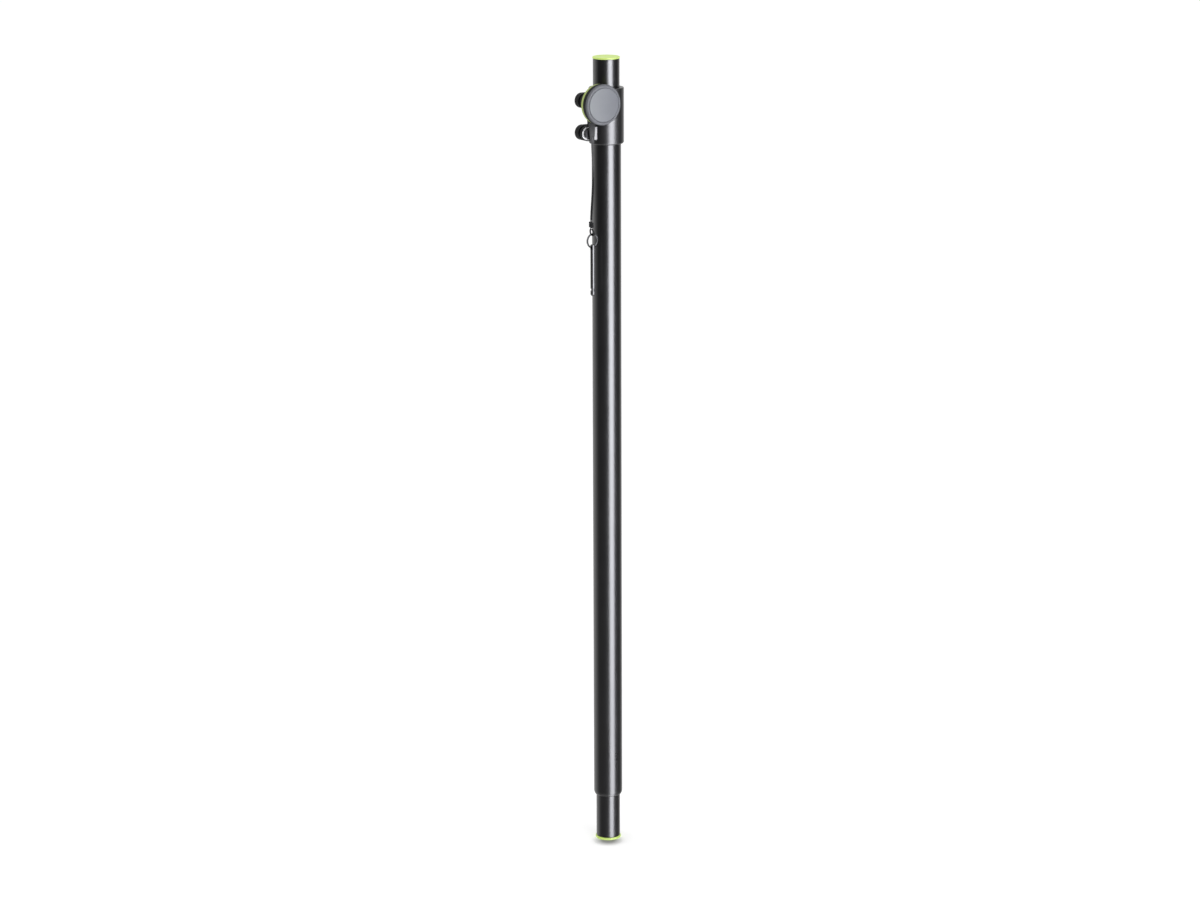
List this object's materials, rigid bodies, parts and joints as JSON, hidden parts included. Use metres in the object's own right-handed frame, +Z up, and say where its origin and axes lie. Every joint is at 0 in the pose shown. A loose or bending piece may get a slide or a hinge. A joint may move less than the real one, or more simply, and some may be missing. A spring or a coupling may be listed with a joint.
{
  "type": "speaker pole",
  "caption": "Black telescopic speaker pole, pushed together: lime-capped inner tube, split clamp collar with round hand knob, narrow spigot with a lime foot cap, and locking pin on a lanyard.",
  "frame": {"origin": "centre of the foot cap's underside, the face the pole stands on", "axes": "+Z runs up the pole's axis; the clamp ears and both bolts lie towards -X; the hand knob faces -Y"},
  "size_m": [0.0821, 0.0683, 1.077],
  "materials": {
    "tube_black": "satin black powder coat on steel tube",
    "black_plastic": "black glass-filled nylon, fine texture",
    "lime_plastic": "lime green moulded plastic",
    "pad_rubber": "mid grey soft-touch rubber",
    "strap_rubber": "dark grey moulded rubber",
    "nylon": "natural nylon, unseen inside",
    "zinc_steel": "zinc plated steel fasteners",
    "pin_steel": "turned bright steel",
    "chrome_wire": "polished split ring wire",
    "cord_black": "black braided cord"
  },
  "bodies": {
    "pole_tube": {"outer_tube": "tube_black", "spigot_tube": "tube_black", "spigot_sleeve": "nylon", "foot_cap": "lime_plastic", "clamp_collar": "black_plastic", "collar_bush": "nylon", "lower_bolt": "zinc_steel", "lower_nut": "zinc_steel", "upper_nut": "zinc_steel", "thrust_washer": "zinc_steel"},
    "mast_guide": {"mast_plug": "nylon"},
    "mast": {"inner_tube": "tube_black", "top_cap": "lime_plastic"},
    "knob_carrier": {"stud_spacer": "black_plastic"},
    "knob": {"knob_body": "black_plastic", "knob_ring": "lime_plastic", "knob_pad": "pad_rubber", "clamp_stud": "zinc_steel"},
    "lanyard": {"lanyard_hanger": "strap_rubber", "lanyard_cord": "cord_black", "lanyard_knot": "cord_black", "cord_loop": "cord_black"},
    "ring": {"split_ring": "chrome_wire"},
    "pin": {"locking_pin": "pin_steel"}
  },
  "joints": [
    {"name": "mast_slide", "type": "slide", "parent": "pole_tube", "child": "mast_guide", "axis": [0, 0, 1], "range_m": [0, 0.65]},
    {"name": "mast_swivel", "type": "hinge", "parent": "mast_guide", "child": "mast", "pos_m": [0, 0, 0.12], "axis": [0, 0, 1], "continuous": true},
    {"name": "knob_travel", "type": "slide", "parent": "pole_tube", "child": "knob_carrier", "axis": [0, -1, 0], "range_m": [0, 0.0025]},
    {"name": "knob_turn", "type": "hinge", "parent": "knob_carrier", "child": "knob", "pos_m": [-0.0324, -0.03, 1.021], "axis": [0, -1, 0], "range_deg": [0, 720]},
    {"name": "lanyard_swing", "type": "hinge", "parent": "knob_carrier", "child": "lanyard", "pos_m": [-0.0324, -0.0145, 1.021], "axis": [0, 1, 0], "range_deg": [-1, 110]},
    {"name": "ring_swing", "type": "hinge", "parent": "lanyard", "child": "ring", "pos_m": [-0.0314, -0.0145, 0.84555], "axis": [-0.1564, 0.9877, 0], "range_deg": [-4, 40]},
    {"name": "pin_swing", "type": "hinge", "parent": "ring", "child": "pin", "pos_m": [-0.0314, -0.0145, 0.82945], "axis": [0.9877, 0.1564, 0], "range_deg": [-45, 45]}
  ],
  "couplings": [
    {"joint": "knob_travel", "follows": "knob_turn", "m_per_rad": 0.00019894}
  ]
}
